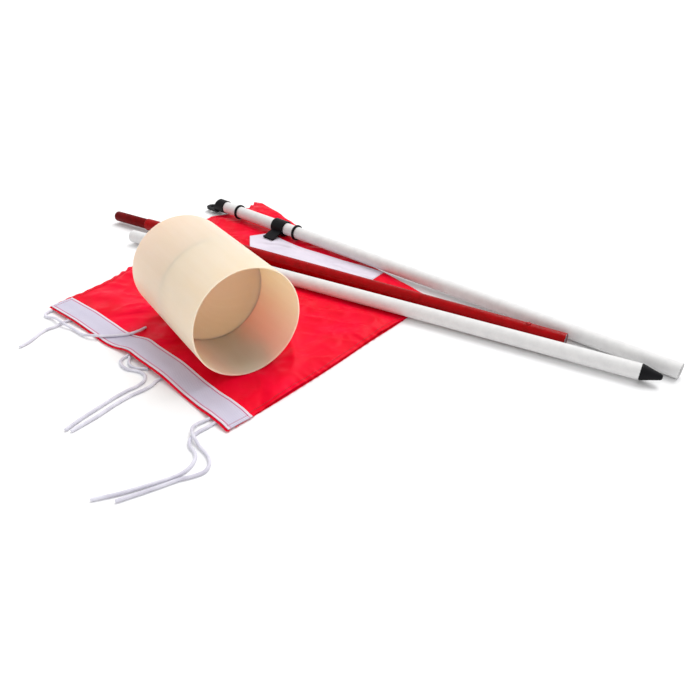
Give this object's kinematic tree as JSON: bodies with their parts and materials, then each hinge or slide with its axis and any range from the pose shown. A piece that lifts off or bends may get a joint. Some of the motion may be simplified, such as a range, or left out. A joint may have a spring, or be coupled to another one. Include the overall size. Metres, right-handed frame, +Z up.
{
  "type": "windsock with pole",
  "caption": "Portable windsock kit laid flat: red and white ripstop sock with a mouth band and ties, a stiff plastic drum, and a sectional pole with a swivel clip and a ground spike.",
  "frame": {"origin": "on the floor, at the middle of the kit's footprint without its loose ties", "axes": "+X along the top pole section towards its open end, +Y from the sock's mouth to its far end, +Z up"},
  "size_m": [1.1519, 0.7796, 0.1707],
  "materials": {
    "red_cloth": "ripstop, satin sheen",
    "white_cloth": "ripstop, satin sheen",
    "webbing": "woven band, matt",
    "tie_cord": "braided, matt",
    "cream_plastic": "translucent, satin",
    "white_pole": "powder coat, satin",
    "red_pole": "gloss coat with orange peel",
    "black_plastic": "moulded, satin",
    "alloy": "mill finish",
    "spring_steel": "bright"
  },
  "bodies": {
    "sock": {"sock_first_section": "red_cloth", "sock_white_section": "white_cloth", "sock_tail_section": "red_cloth", "mouth_band": "webbing", "left_tie_end_1": "tie_cord", "left_tie_end_2": "tie_cord", "middle_tie_end_1": "tie_cord", "middle_tie_bight": "tie_cord", "middle_tie_end_2": "tie_cord", "right_tie_end_1": "tie_cord", "right_tie_end_2": "tie_cord"},
    "drum": {"drum_shell": "cream_plastic", "drum_bulkhead": "cream_plastic"},
    "top_pole": {"top_pole_tube": "white_pole", "top_cap": "black_plastic", "upper_stop_ring": "black_plastic", "lower_stop_ring": "black_plastic"},
    "clip": {"swivel_clip": "black_plastic"},
    "middle_pole": {"middle_pole_tube": "red_pole", "middle_pole_spigot": "red_pole", "coupler_sleeve": "alloy", "button_spring": "spring_steel"},
    "button": {"snap_button": "red_pole"},
    "bottom_pole": {"bottom_pole_tube": "white_pole", "ground_spike": "black_plastic"}
  },
  "joints": [
    {"name": "drum_lift", "type": "slide", "parent": "sock", "child": "drum", "axis": [0, 0, 1], "range_m": [0, 0.2]},
    {"name": "top_pole_lift", "type": "slide", "parent": "sock", "child": "top_pole", "axis": [0, 0, 1], "range_m": [0, 0.2]},
    {"name": "clip_spin", "type": "hinge", "parent": "top_pole", "child": "clip", "pos_m": [-0.24211, 0.206, 0.01907], "axis": [-1, 0, 0.008], "range_deg": [0, 215]},
    {"name": "middle_pole_lift", "type": "slide", "parent": "sock", "child": "middle_pole", "axis": [0, 0, 1], "range_m": [0, 0.2]},
    {"name": "button_press", "type": "slide", "parent": "middle_pole", "child": "button", "axis": [0, 0, -1], "range_m": [0, 0.0035], "stiffness_N_per_m": 900, "springref_m": -0.003, "deforming": ["button_spring"]},
    {"name": "bottom_pole_lift", "type": "slide", "parent": "sock", "child": "bottom_pole", "axis": [0, 0, 1], "range_m": [0, 0.2]}
  ]
}
